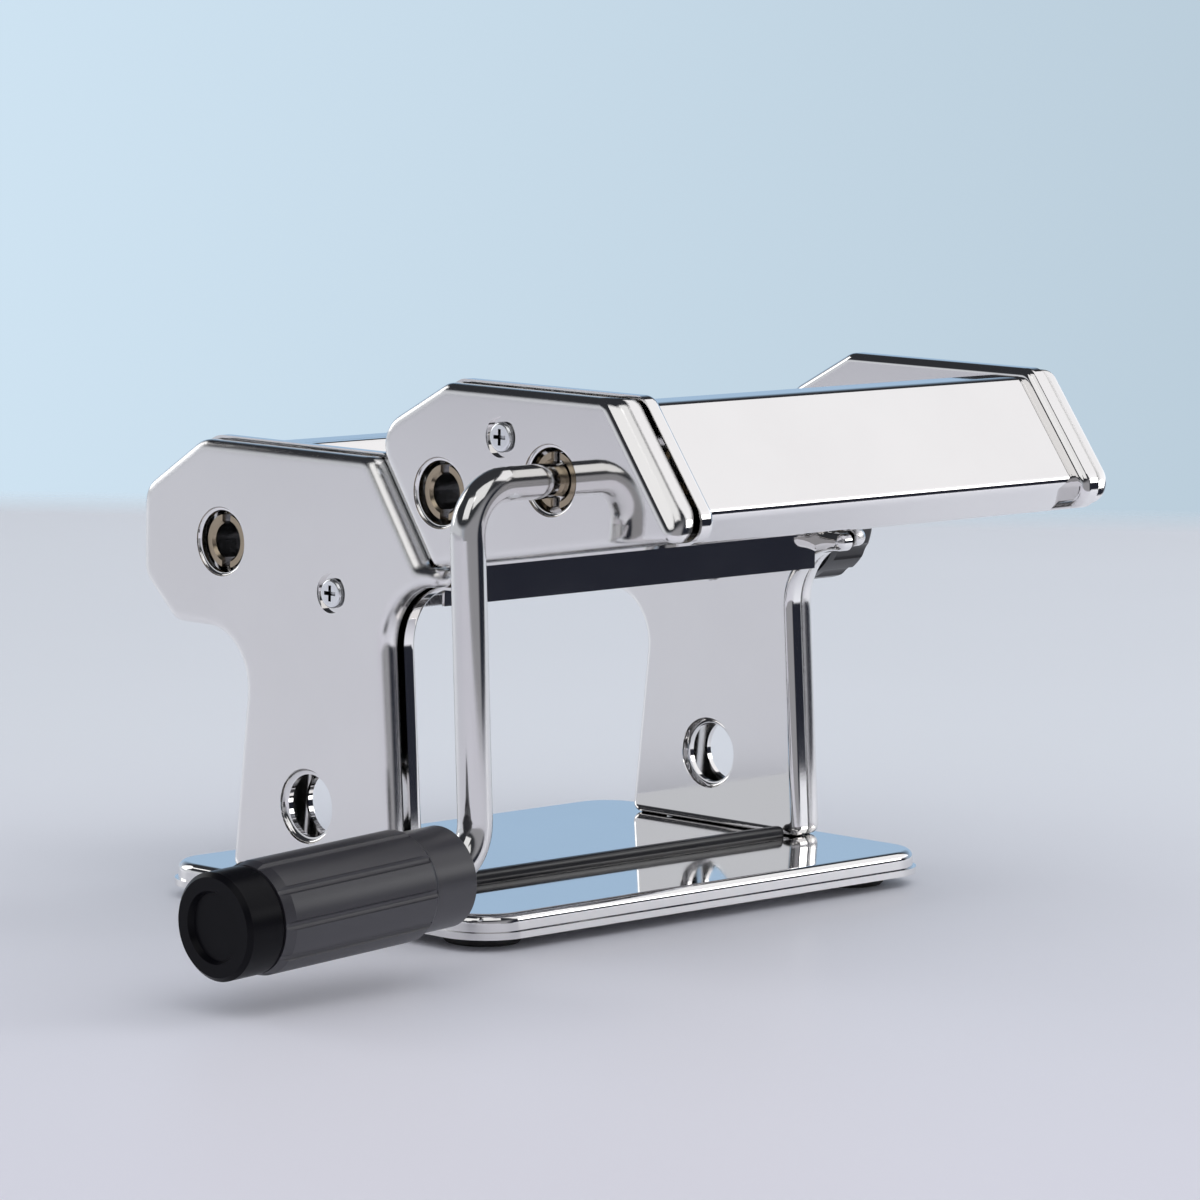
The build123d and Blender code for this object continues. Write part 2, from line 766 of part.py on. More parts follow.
# ---- cutter head ----
def cutter_cap(hand):
    shell = cup(cap_outline(), cup_depth)
    shell = screw_dimple(shell, *cap_rod)
    if hand < 0:
        shell = rolled_hole(shell, *axes["rear_a"], socket_radius, socket_lip)
        shell = rolled_hole(shell, *axes["front_a"], socket_radius, socket_lip)
    placed = side_plane(-outer_x) * shell
    return placed if hand < 0 else mirrored(placed)


def cutter_frame(hand):
    shell = cup(cap_outline(frame_margin), cap_frame_depth)
    for name, place in axes.items():
        driven_end = hand < 0 and name.endswith("_a")
        bore = tube_diameter / 2 if driven_end else cutter_journal / 2
        shell = round_hole(shell, *place, bore + running + bush_wall)
    shell = round_hole(shell, *cap_rod, screw_diameter / 2 + screw_play)
    placed = side_plane(frame_x) * shell
    return placed if hand > 0 else mirrored(placed)


def cutter_tongue(hand):
    # strip between the caps that slides in the gap of the body wall
    width = tongue_inner_width + cutter_gap + tongue_outer_width
    across = -lean
    start = polar((cap_y, cap_z), 90 - lean, 5.0)
    edge_middle = polar(start, 90 - lean, tongue_length / 2)
    middle = polar(edge_middle, across, (cutter_gap + tongue_outer_width - tongue_inner_width) / 2)
    strip = Pos(*middle) * (Rot(0, 0, across) * RectangleRounded(width, tongue_length, 2.0))
    low = frame_x + cap_frame_depth
    solid = slab(strip, low, low + tongue_thickness)
    return solid if hand > 0 else mirrored(solid)


def cutter_front_plate():
    # slanted face with a rolled top strip and a return lip under the pasta
    front_top, front_low = cap_corners()[3], cap_corners()[4]
    inset = cover_inset + 0.9
    shift = inset / cos(radians(front_lean))
    top = front_top[1] - 1.5 - sheet / 2
    crown = meet((front_top[0] + shift, front_top[1]), 90 - front_lean, (0, top), 0)
    chin = meet(crown, 90 - front_lean, (0, front_low[1] + chin_rise), 0)
    feed = axes["front_b"][0] + 4.4
    lip = polar(chin, -chin_angle, chin_length)
    flange = polar(lip, -belly_tilt, chin_flange)
    points = [(feed, top - 6.0), (feed, top), crown, chin, lip, flange]
    return folded(points, [2.0, 4.0, 2.5, 1.2])


def cutter_centre_guide():
    # channel between the two feed slots
    front_y = axes["front_a"][0] - 1.6
    rear_y = axes["rear_b"][0] + 1.6
    top = cap_rod[1] + rod_diameter / 2 + 1.4
    return folded([(front_y, top - 3.4), (front_y, top), (rear_y, top), (rear_y, top - 8.0)], [2.0, 2.0])


def cutter_rear_plate():
    # closes the back of the head and turns in under it
    rear_low, rear_high = cap_corners()[0], cap_corners()[1]
    inset = (cover_inset + sheet / 2) / cos(radians(lean))
    heel = (rear_low[0] - inset, rear_low[1])
    low = meet(heel, 90 - lean, (rear_low[0], rear_low[1] + 2.0), 180 - belly_tilt)
    high = meet(heel, 90 - lean, (0, rear_high[1] - 3.5), 0)
    brow = polar(high, 180 - cap_slope, 7.0)
    toe = polar(low, 180 - belly_tilt, 9.0)
    return folded([brow, high, low, toe], [3.5, 3.0])


def ridged_points(strip, phase, end):
    # (x, radius) points of a roller whose ridges are one strip wide
    core = cutter_core / 2
    outer = cutter_diameter / 2
    pitch = 2 * strip
    count = int(cut_length / pitch)
    start = -count * pitch / 2
    points = [(-end, core)]
    for index in range(count):
        low = start + index * pitch + phase * strip + ridge_play / 2
        high = low + strip - ridge_play
        points += [(low, core), (low, outer), (high, outer), (high, core)]
    return points + [(end, core)]


def driven_cutter(place, strip):
    end = roller_end_x
    points = [(-end, 0)] + ridged_points(strip, 0, end)
    points += [(end, cutter_journal / 2), (cover_in_x - 0.3, cutter_journal / 2), (cover_in_x - 0.3, 0)]
    return with_socket(turned(points, *place), *place)


def idle_cutter(place, strip):
    end = roller_end_x
    left = cavity_x + 3.0
    points = [(-left, 0), (-left, cutter_journal / 2), (-end, cutter_journal / 2)]
    points += ridged_points(strip, 1, end)
    points += [(end, cutter_journal / 2), (cover_in_x - 0.3, cutter_journal / 2), (cover_in_x - 0.3, 0)]
    return turned(points, *place)


def cutter_gear(place, phase):
    tip = cutter_centre_distance / 2 + cutter_addendum
    root = cutter_centre_distance - tip - root_play
    face = gear_face(cutter_teeth, cutter_centre_distance, cutter_addendum, root, tip_share)
    face -= Circle(cutter_journal / 2)
    return slab(Pos(*place) * (Rot(0, 0, phase) * face), gear_x, gear_x + gear_width)


def comb(place, strip, phase, side):
    # stripper under a cutting roller; its teeth stand in the roller's grooves
    ridge_clear = cutter_diameter / 2 + comb_play
    tip = cutter_core / 2 + comb_play
    pitch = 2 * strip
    count = int(cut_length / pitch)
    start = -count * pitch / 2
    spine_face = Pos(0, (ridge_clear + comb_reach) / 2) * Rectangle(2 * frame_x, comb_reach - ridge_clear)
    tooth_width = strip - 0.6
    for index in range(count):
        middle = start + index * pitch + (1.5 - phase) * strip
        middle = middle if middle < cut_length / 2 else middle - pitch * count
        tooth = Pos(middle, (tip + ridge_clear) / 2 + 0.2) * Rectangle(tooth_width, ridge_clear - tip + 0.4)
        spine_face += tooth
    blade = extrude(spine_face, amount=comb_thickness / 2, both=True)
    down = -90 - belly_tilt + side * comb_lean
    direction = (0, cos(radians(down)), sin(radians(down)))
    return Plane(origin=(0, *place), x_dir=(1, 0, 0), z_dir=Vector(1, 0, 0).cross(Vector(*direction))) * blade


# ---- crank ----
def crank_points():
    # tang end, elbow, wrist and tip of the bent rod
    y, z = axes["front_a"]
    droop = radians(crank_droop)
    tang = (crank_insert - tube_end_x, y, z)
    elbow = (-(outer_x + crank_out), y, z)
    wrist = (elbow[0] + crank_arm * sin(droop), y, z - crank_arm * cos(droop))
    rod_end = grip_start + grip_body_length - nut_pocket + nut_thickness + 2.4
    tip = (wrist[0] - rod_end * cos(droop), y, wrist[2] - rod_end * sin(droop))
    return tang, elbow, wrist, tip


def crank_rod():
    # round rod bent twice, with two ears that drop into the socket's notches
    tang, elbow, wrist, tip = crank_points()
    bends = FilletPolyline(*[(x, z) for x, y, z in (tang, elbow, wrist, tip)], radius=crank_bend)
    path = Plane(origin=(0, tang[1], 0), x_dir=(1, 0, 0), z_dir=(0, -1, 0)) * bends
    rod = sweep(Plane(origin=tang, z_dir=(-1, 0, 0)) * Circle(rod_round / 2), path=path)
    ear_x = notch_depth - touch_gap - ear_width / 2 - tube_end_x
    ears = Pos(ear_x, tang[1], tang[2]) * Cylinder(ear_width / 2, tube_diameter - 0.4)
    return rod + ears


def grip_plane():
    wrist, tip = Vector(*crank_points()[2]), Vector(*crank_points()[3])
    direction = (tip - wrist).normalized()
    return Plane(origin=wrist + direction * grip_start, x_dir=(0, 1, 0), z_dir=direction)


def crank_grip():
    # plastic grip, turning on the rod: plain collar, then a grooved barrel
    length = grip_body_length
    collar = grip_collar / 2
    barrel = grip_diameter / 2
    profile = [
        (rod_round / 2 + 0.1, 0),
        (collar - 1.0, 0),
        (collar, 1.0),
        (collar, grip_collar_length),
        (barrel, grip_collar_length + 2.0),
        (barrel, length - 3.0),
        (barrel - 0.8, length),
        (spigot_diameter / 2, length),
        (spigot_diameter / 2, length - nut_pocket),
        (rod_round / 2 + 0.1, length - nut_pocket),
    ]
    body = revolve(Plane.XZ * make_face(Polyline(*profile, close=True)), Axis.Z)
    groove_start = grip_collar_length + 1.0
    groove = extrude(Circle(groove_radius), amount=length - groove_start)
    groove = Pos(barrel + groove_radius - groove_depth, 0, groove_start) * groove
    for index in range(grip_grooves):
        body -= Rot(0, 0, index * 360 / grip_grooves) * groove
    return grip_plane() * body


def crank_grip_cap():
    radius = grip_cap_diameter / 2
    low = grip_body_length + 0.4
    high = grip_body_length + grip_cap_length
    profile = [
        (0, low - spigot_length),
        (spigot_diameter / 2, low - spigot_length),
        (spigot_diameter / 2, low),
        (radius - 0.6, low),
        (radius, low + 0.6),
        (radius, high - 1.2),
        (radius - 1.2, high),
        (grip_cap_recess / 2, high),
        (grip_cap_recess / 2 - 0.8, high - grip_cap_recess_depth),
        (0, high - grip_cap_recess_depth),
    ]
    return grip_plane() * revolve(Plane.XZ * make_face(Polyline(*profile, close=True)), Axis.Z)


def crank_push_nut():
    low = grip_body_length - nut_pocket + 0.3
    nut = Pos(0, 0, low) * extrude(Circle(7.6) - Circle(rod_round / 2), amount=nut_thickness)
    return grip_plane() * nut


# ---- write the parts ----
def write(name, solids):
    if isinstance(solids, list):
        solids = Compound(children=solids)
    export_step(solids, "parts/" + name + ".step")


os.makedirs("parts", exist_ok=True)
half_tooth = 180 / roller_teeth
half_cutter_tooth = 180 / cutter_teeth
tilt = -belly_tilt
driven_bore = tube_diameter / 2 + running
plain_bore = journal / 2 + running
cutter_bore = cutter_journal / 2 + running

write("base_plate", base_plate())
write("base_feet", base_feet())
write("leg_brackets", leg_brackets())
write("base_screws", base_screws())
for hand, side in ((-1, "left"), (1, "right")):
    write("side_cover_" + side, side_cover(hand))
    write("side_frame_" + side, side_frame(hand))
    write("bearing_block_" + side, bearing_block(hand))
    write("cutter_cap_" + side, cutter_cap(hand))
    write("cutter_frame_" + side, cutter_frame(hand))
write("body_tie_rods", [tie_rod(body_rod, [-1]), tie_rod(rear_rod, [1])])
write("side_spacers", [spacer(body_rod, -1), spacer(rear_rod, 1)])
write("side_cover_screws", [wall_screw(body_rod, -1), wall_screw(rear_rod, 1)])
write("front_cover", front_cover())
write("hopper_front", hopper_front())
write("hopper_rear", hopper_rear())
write("rear_cover", rear_cover())
write("rear_roller", rear_roller())
write("rear_roller_gear", roller_gear(rear_roller_y, 0))
rear_place = (rear_roller_y, roller_z)
write("rear_roller_bushes", [bush(*rear_place, driven_bore, -1), bush(*rear_place, plain_bore, 1)])
write("front_roller", front_roller())
write("front_roller_gear", roller_gear(front_roller_y, half_tooth))
eye = plain_bore + 0.1
write("rear_scraper", scraper(rear_roller_y, -62, rear_blade, driven_bore + 0.1, eye, frame_x))
write("front_scraper", scraper(front_roller_y, -118, front_blade, eye, eye, frame_x - boss_reach))
write("adjuster_shaft", adjuster_shaft())
write("adjuster_bushes", adjuster_bushes())
write("index_plate", index_plate())
write("adjuster_knob", adjuster_knob())
write("knob_cap", knob_cap())
write("knob_spring", knob_spring())
write("knob_screw", knob_screw())
write("cutter_tongues", [cutter_tongue(-1), cutter_tongue(1)])
write("cutter_front_plate", cutter_front_plate())
write("cutter_centre_guide", cutter_centre_guide())
write("cutter_rear_plate", cutter_rear_plate())
write("cutter_tie_rods", [tie_rod(cap_rod, [-1, 1]), tie_rod(lower_rod, [])])
write("cutter_spacers", [spacer(cap_rod, -1), spacer(cap_rod, 1)])
write("cutter_cap_screws", [wall_screw(cap_rod, -1), wall_screw(cap_rod, 1)])
cutter_bushes = []
for name, place in axes.items():
    cutter_bushes.append(bush(*place, driven_bore if name.endswith("_a") else cutter_bore, -1))
    cutter_bushes.append(bush(*place, cutter_bore, 1))
write("cutter_bushes", cutter_bushes)
for pair, strip in (("rear", fine_cut), ("front", wide_cut)):
    driven, idle = axes[pair + "_a"], axes[pair + "_b"]
    write(pair + "_cutter_driven", driven_cutter(driven, strip))
    write(pair + "_cutter_idle", idle_cutter(idle, strip))
    write(pair + "_cutter_driven_gear", cutter_gear(driven, tilt))
    write(pair + "_cutter_idle_gear", cutter_gear(idle, tilt + half_cutter_tooth))
    write(pair + "_comb_a", comb(driven, strip, 0, 1))
    write(pair + "_comb_b", comb(idle, strip, 1, -1))
write("crank_rod", crank_rod())
write("crank_grip", crank_grip())
write("crank_grip_cap", crank_grip_cap())
write("crank_push_nut", crank_push_nut())
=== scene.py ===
import json
import math

import bmesh
import bpy
import numpy as np
from mathutils import Matrix, Vector


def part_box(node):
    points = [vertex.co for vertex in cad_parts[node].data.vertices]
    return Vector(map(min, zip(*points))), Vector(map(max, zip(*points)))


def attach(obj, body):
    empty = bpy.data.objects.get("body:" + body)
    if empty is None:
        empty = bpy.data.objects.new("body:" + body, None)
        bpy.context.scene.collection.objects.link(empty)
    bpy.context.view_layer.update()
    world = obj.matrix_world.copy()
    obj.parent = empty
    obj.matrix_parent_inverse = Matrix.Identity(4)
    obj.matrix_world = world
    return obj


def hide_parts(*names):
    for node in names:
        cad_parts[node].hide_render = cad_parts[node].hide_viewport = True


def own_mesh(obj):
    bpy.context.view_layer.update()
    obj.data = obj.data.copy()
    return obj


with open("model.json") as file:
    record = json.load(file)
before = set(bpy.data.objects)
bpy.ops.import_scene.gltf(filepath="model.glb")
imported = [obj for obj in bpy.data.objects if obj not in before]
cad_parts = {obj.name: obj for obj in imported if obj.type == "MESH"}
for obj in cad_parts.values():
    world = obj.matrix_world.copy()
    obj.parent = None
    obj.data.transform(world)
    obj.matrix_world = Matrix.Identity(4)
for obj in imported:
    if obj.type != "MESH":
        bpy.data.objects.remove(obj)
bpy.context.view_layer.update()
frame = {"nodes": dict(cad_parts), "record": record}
nodes = frame["nodes"]
print("frame loaded:", len(nodes), "nodes")


# small helpers for node trees
def newMaterial(name):
    material = bpy.data.materials.new(name)
    material.use_nodes = True
    tree = material.node_tree
    return material, tree, tree.nodes["Principled BSDF"]


def link(tree, source, target):
    tree.links.new(source, target)


def objectCoords(tree, scale=(1, 1, 1)):
    coords = tree.nodes.new("ShaderNodeTexCoord")
    mapping = tree.nodes.new("ShaderNodeMapping")
    mapping.inputs["Scale"].default_value = scale
    link(tree, coords.outputs["Object"], mapping.inputs["Vector"])
    return mapping.outputs["Vector"]


def noise(tree, vector, scale, detail=3.0, roughness=0.5):
    node = tree.nodes.new("ShaderNodeTexNoise")
    node.inputs["Scale"].default_value = scale
    node.inputs["Detail"].default_value = detail
    node.inputs["Roughness"].default_value = roughness
    link(tree, vector, node.inputs["Vector"])
    return node.outputs["Fac"]


def remap(tree, value, low, high, fromLow=0.0, fromHigh=1.0):
    node = tree.nodes.new("ShaderNodeMapRange")
    node.inputs["From Min"].default_value = fromLow
    node.inputs["From Max"].default_value = fromHigh
    node.inputs["To Min"].default_value = low
    node.inputs["To Max"].default_value = high
    link(tree, value, node.inputs["Value"])
    return node.outputs["Result"]


def colourBlend(tree, factor, first, second):
    # each of the two is a colour or the output of another node
    node = tree.nodes.new("ShaderNodeMix")
    node.data_type = "RGBA"
    link(tree, factor, node.inputs["Factor"])
    for colour, side in ((first, "A"), (second, "B")):
        if isinstance(colour, tuple):
            node.inputs[side].default_value = (*colour, 1)
        else:
            link(tree, colour, node.inputs[side])
    return node.outputs["Result"]


def arithmetic(tree, operation, first, second):
    # the second value is a plain number or the output of another node
    node = tree.nodes.new("ShaderNodeMath")
    node.operation = operation
    link(tree, first, node.inputs[0])
    if isinstance(second, float):
        node.inputs[1].default_value = second
    else:
        link(tree, second, node.inputs[1])
    return node.outputs[0]


def reachAlong(tree, vector, axis):
    node = tree.nodes.new("ShaderNodeVectorMath")
    node.operation = "DOT_PRODUCT"
    node.inputs[1].default_value = axis
    link(tree, vector, node.inputs[0])
    return node.outputs["Value"]


def edgeNormal(tree, radius):
    node = tree.nodes.new("ShaderNodeBevel")
    node.samples = 8
    node.inputs["Radius"].default_value = radius
    return node.outputs["Normal"]


def normalBlend(tree, factor, first, second):
    mix = tree.nodes.new("ShaderNodeMix")
    mix.data_type = "VECTOR"
    link(tree, factor, mix.inputs["Factor"])
    link(tree, first, mix.inputs["A"])
    link(tree, second, mix.inputs["B"])
    return mix.outputs["Result"]


spotFade = 0.0004  # half the width over which a flat spot meets the rolled edge


def rolledEdge(tree, radius, spots, wide=None):
    # turns the normal over within this distance of an edge, as a pressed sheet bends, but leaves the
    # face flat round each spot (y, z, reach) where a bore or a screw sits. Along the edge that is drawn
    # over wide, the normal leans outward by an angle whose tangent is lean t^power, where t runs from
    # 0 at the reach to 1 at the edge
    turned = edgeNormal(tree, radius)
    if wide is not None:
        outward, through = wide["outward"], wide["through"]
        offset = outward[0] * through[0] + outward[1] * through[1]
        inside = reachAlong(tree, objectCoords(tree), (0, *outward))
        share = remap(tree, inside, 0.0, 1.0, offset - wide["reach"], offset)
        lean = tree.nodes.new("ShaderNodeVectorMath")
        lean.operation = "SCALE"
        lean.inputs[0].default_value = (0, wide["lean"] * outward[0], wide["lean"] * outward[1])
        link(tree, arithmetic(tree, "POWER", share, wide["power"]), lean.inputs["Scale"])
        total = tree.nodes.new("ShaderNodeVectorMath")
        link(tree, turned, total.inputs[0])
        link(tree, lean.outputs["Vector"], total.inputs[1])
        unit = tree.nodes.new("ShaderNodeVectorMath")
        unit.operation = "NORMALIZE"
        link(tree, total.outputs["Vector"], unit.inputs[0])
        turned = unit.outputs["Vector"]
    geometry = tree.nodes.new("ShaderNodeNewGeometry")
    sideways = objectCoords(tree, (0, 1, 1))
    away = None
    for y, z, reach in spots:
        distance = tree.nodes.new("ShaderNodeVectorMath")
        distance.operation = "DISTANCE"
        distance.inputs[1].default_value = (0, y, z)
        link(tree, sideways, distance.inputs[0])
        clear = remap(tree, distance.outputs["Value"], 0.0, 1.0, reach - spotFade, reach + spotFade)
        away = clear if away is None else arithmetic(tree, "MULTIPLY", away, clear)
    return normalBlend(tree, away, geometry.outputs["Normal"], turned)


def axisOf(name):
    # where a shaft's axis passes through the side walls
    low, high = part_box(name)
    return (low[1] + high[1]) / 2, (low[2] + high[2]) / 2


def bump(tree, height, strength, distance, normal=None):
    node = tree.nodes.new("ShaderNodeBump")
    node.inputs["Strength"].default_value = strength
    node.inputs["Distance"].default_value = distance
    link(tree, height, node.inputs["Height"])
    if normal is not None:
        link(tree, normal, node.inputs["Normal"])
    return node.outputs["Normal"]


# finishes
chromeLook = {"tint": (0.84, 0.825, 0.82), "bright": (0.91, 0.90, 0.89), "polish": 0.032, "smudge": 0.095,
              "wave": 0.0005}
# the pressed covers and caps roll over at the edge more softly than their thin sheet alone would
coverLook = {**chromeLook, "roll": 0.0030, "wide": None,
             "spots": [(*axisOf("rear_roller"), 0.0130), (0.0001, 0.0937, 0.0088), (0.0092, 0.0322, 0.0142)]}
# the front edge of a cap leans back by 36.4 degrees: outward is square to it, in y and z
capFront = {"outward": (-0.805, 0.593), "through": (-0.1126, 0.1560), "reach": 0.0085, "lean": 1.15,
            "power": 0.75}
capLook = {**chromeLook, "roll": 0.0024, "wide": capFront,
           "spots": [(*axisOf("rear_cutter_driven"), 0.0125), (*axisOf("front_cutter_driven"), 0.0125),
                     (-0.0662, 0.1427, 0.0085)]}


def polishedSheet(name, look):
    # mirror-polished pressed steel: faint smudges in the gloss and a slow press wave in the face
    material, tree, shader = newMaterial(name)
    vector = objectCoords(tree)
    cloud = noise(tree, vector, 22.0, 4.0, 0.6)
    fine = noise(tree, vector, 900.0, 2.0, 0.5)
    link(tree, colourBlend(tree, cloud, look["tint"], look["bright"]), shader.inputs["Base Color"])
    link(tree, remap(tree, cloud, look["polish"], look["smudge"], 0.35, 0.8), shader.inputs["Roughness"])
    edge = rolledEdge(tree, look["roll"], look["spots"], look["wide"]) if "roll" in look else None
    wave = bump(tree, noise(tree, vector, 9.0, 1.0, 0.3), 0.2, look["wave"], edge)
    link(tree, bump(tree, fine, 0.05, 0.00002, wave), shader.inputs["Normal"])
    shader.inputs["Metallic"].default_value = 1.0
    return material


def turnedSteel(name, tint, bright, rough, ringScale, paintedReflection=None):
    # ground or turned steel: fine rings across the axis of the piece, and where a painted reflection is given
    # a warmer, browner colour on the ends that stand out through the side walls: a painted warm reflection
    material, tree, shader = newMaterial(name)
    rings = noise(tree, objectCoords(tree, (1, 0.02, 0.02)), ringScale, 3.0, 0.7)
    cloud = noise(tree, objectCoords(tree), 40.0, 3.0, 0.5)
    colour = colourBlend(tree, cloud, tint, bright)
    if paintedReflection is not None:
        split = tree.nodes.new("ShaderNodeSeparateXYZ")
        link(tree, objectCoords(tree), split.inputs["Vector"])
        size = tree.nodes.new("ShaderNodeMath")
        size.operation = "ABSOLUTE"
        link(tree, split.outputs["X"], size.inputs[0])
        paintedReflectionShare = remap(tree, size.outputs[0], 0.0, 1.0, paintedReflection["from"], paintedReflection["from"] + paintedReflection["fade"])
        colour = colourBlend(tree, paintedReflectionShare, colour, colourBlend(tree, cloud, paintedReflection["tint"], paintedReflection["bright"]))
    link(tree, colour, shader.inputs["Base Color"])
    link(tree, remap(tree, rings, rough * 0.75, rough * 1.3), shader.inputs["Roughness"])
    link(tree, bump(tree, rings, 0.15, 0.00003), shader.inputs["Normal"])
    shader.inputs["Metallic"].default_value = 1.0
    return material


# the recess colour and the ambient occlusion limits paint shade into the driver recess of the screw heads
screwLook = {"recess": (0.02, 0.024, 0.03), "tint": (0.82, 0.84, 0.86), "bright": (0.93, 0.94, 0.96),
             "deep": 0.0016, "dark": 0.45, "open": 0.85}


def screwZinc():
    # bright zinc heads whose driver recess is painted dark wherever ambient occlusion finds it closed in:
    # painted shade
    material, tree, shader = newMaterial("screwZinc")
    vector = objectCoords(tree)
    cloud = noise(tree, vector, 300.0, 3.0, 0.5)
    paintedRecessShadeAO = tree.nodes.new("ShaderNodeAmbientOcclusion")
    paintedRecessShadeAO.samples = 8
    paintedRecessShadeAO.inputs["Distance"].default_value = screwLook["deep"]
    shade = remap(tree, paintedRecessShadeAO.outputs["AO"], 0.0, 1.0, screwLook["dark"], screwLook["open"])
    head = colourBlend(tree, cloud, screwLook["tint"], screwLook["bright"])
    link(tree, colourBlend(tree, shade, screwLook["recess"], head), shader.inputs["Base Color"])
    link(tree, remap(tree, cloud, 0.18, 0.30), shader.inputs["Roughness"])
    shader.inputs["Metallic"].default_value = 1.0
    return material


def sinteredMetal(name, tint, dark):
    # pressed powder: an even fine grain
    material, tree, shader = newMaterial(name)
    vector = objectCoords(tree)
    grain = noise(tree, vector, 2600.0, 2.0, 0.6)
    cloud = noise(tree, vector, 120.0, 3.0, 0.5)
    link(tree, colourBlend(tree, cloud, dark, tint), shader.inputs["Base Color"])
    link(tree, remap(tree, grain, 0.30, 0.50), shader.inputs["Roughness"])
    link(tree, bump(tree, grain, 0.2, 0.00003), shader.inputs["Normal"])
    shader.inputs["Metallic"].default_value = 1.0
    return material


def mouldedBlack(name, dark, light, rough, shine=0.5):
    # moulded plastic with a fine sparked grain
    material, tree, shader = newMaterial(name)
    vector = objectCoords(tree)
    grain = noise(tree, vector, 3200.0, 2.0, 0.5)
    cloud = noise(tree, vector, 60.0, 3.0, 0.5)
    link(tree, colourBlend(tree, cloud, dark, light), shader.inputs["Base Color"])
    link(tree, remap(tree, grain, rough * 0.85, rough * 1.15), shader.inputs["Roughness"])
    link(tree, bump(tree, grain, 0.12, 0.00004), shader.inputs["Normal"])
    shader.inputs["Specular IOR Level"].default_value = shine
    return material


def footRubber():
    material, tree, shader = newMaterial("footRubber")
    grain = noise(tree, objectCoords(tree), 1800.0, 3.0, 0.6)
    shade = colourBlend(tree, grain, (0.018, 0.018, 0.019), (0.045, 0.044, 0.043))
    link(tree, shade, shader.inputs["Base Color"])
    link(tree, remap(tree, grain, 0.65, 0.9), shader.inputs["Roughness"])
    link(tree, bump(tree, grain, 0.3, 0.00008), shader.inputs["Normal"])
    return material


rodLook = {"tint": (0.74, 0.735, 0.73), "bright": (0.86, 0.85, 0.84), "polish": 0.09, "smudge": 0.17,
           "wave": 0.0002}
# the warm brown colour on the ends of the roller tube is a painted reflection
tubeMouthPaintedReflection = {"from": 0.0855, "fade": 0.001, "tint": (0.36, 0.29, 0.21), "bright": (0.52, 0.44, 0.33)}
finishes = {
    "polished_chrome": polishedSheet("polishedSheet", chromeLook),
    "zinc_steel": turnedSteel("zincSteel", (0.55, 0.56, 0.58), (0.70, 0.71, 0.73), 0.22, 1500.0),
    "roller_steel": turnedSteel("rollerSteel", (0.62, 0.62, 0.63), (0.76, 0.76, 0.77), 0.20, 2400.0, tubeMouthPaintedReflection),
    "gear_steel": sinteredMetal("gearSteel", (0.46, 0.45, 0.44), (0.34, 0.33, 0.33)),
    "bronze": sinteredMetal("bronzeBush", (0.62, 0.48, 0.30), (0.44, 0.33, 0.20)),
    "comb_steel": turnedSteel("combSteel", (0.58, 0.58, 0.60), (0.74, 0.74, 0.76), 0.26, 900.0),
    "black_plastic": mouldedBlack("mouldedBlack", (0.010, 0.010, 0.013), (0.018, 0.018, 0.022), 0.30),
    "foot_rubber": footRubber(),
}
coverChrome = polishedSheet("coverChrome", coverLook)
capChrome = polishedSheet("capChrome", capLook)
screwHeads = screwZinc()
ownFinish = {
    "side_cover_screws": screwHeads,
    "cutter_cap_screws": screwHeads,
    "crank_rod": polishedSheet("rodChrome", rodLook),
    # the grip and its cap are one black plastic: the grip's copy is painted lighter and shinier, a painted
    # sheen, and the cap's copy darker and duller, painted shade
    "crank_grip": mouldedBlack("gripPlasticPaintedSheen", (0.021, 0.020, 0.026), (0.031, 0.030, 0.038), 0.37, 0.8),
    "crank_grip_cap": mouldedBlack("capPlasticPaintedShade", (0.002, 0.002, 0.003), (0.004, 0.004, 0.006), 0.30, 0.10),
    "side_cover_left": coverChrome,
    "side_cover_right": coverChrome,
    "cutter_cap_left": capChrome,
    "cutter_cap_right": capChrome,
}
slotOf = {row["node"]: row["material_slot"] for row in frame["record"]["subparts"]}
for name, node in nodes.items():
    node.data.materials.clear()
    node.data.materials.append(ownFinish.get(name, finishes[slotOf[name]]))
print("finishes on the CAD nodes")


def tubeFaces(rings, around):
    # quads between rings of points that follow one another, with a flat face over each end
    ring, step = np.meshgrid(np.arange(rings - 1), np.arange(around), indexing="ij")
    start, after = ring * around, (step + 1) % around
    quads = np.stack([start + step, start + after, start + around + after, start + around + step], 2)
    last = np.arange((rings - 1) * around, rings * around)
    return quads.reshape(-1, 4).tolist() + [list(range(around)), last.tolist()]


def pieceFrom(name, vertices, faces, material, body, smooth=True):
    # one finished piece: its place is in its mesh, and it rides on the named body
    mesh = bpy.data.meshes.new(name)
    mesh.from_pydata(np.asarray(vertices).tolist(), [], faces)
    shell = bmesh.new()
    shell.from_mesh(mesh)
    bmesh.ops.recalc_face_normals(shell, faces=shell.faces[:])
    shell.to_mesh(mesh)
    shell.free()
    mesh.polygons.foreach_set("use_smooth", [smooth] * len(mesh.polygons))
    mesh.materials.append(material)
    piece = bpy.data.objects.new(name, mesh)
    bpy.context.scene.collection.objects.link(piece)
    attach(piece, body)
    return piece


# the black band that lies on the base between the two walls
bandLook = {"front": -0.0240, "back": -0.0200, "height": 0.0033, "clear": 0.0006, "square": 0.6, "blunt": 0.15,
            "arch": 28, "ends": 9}


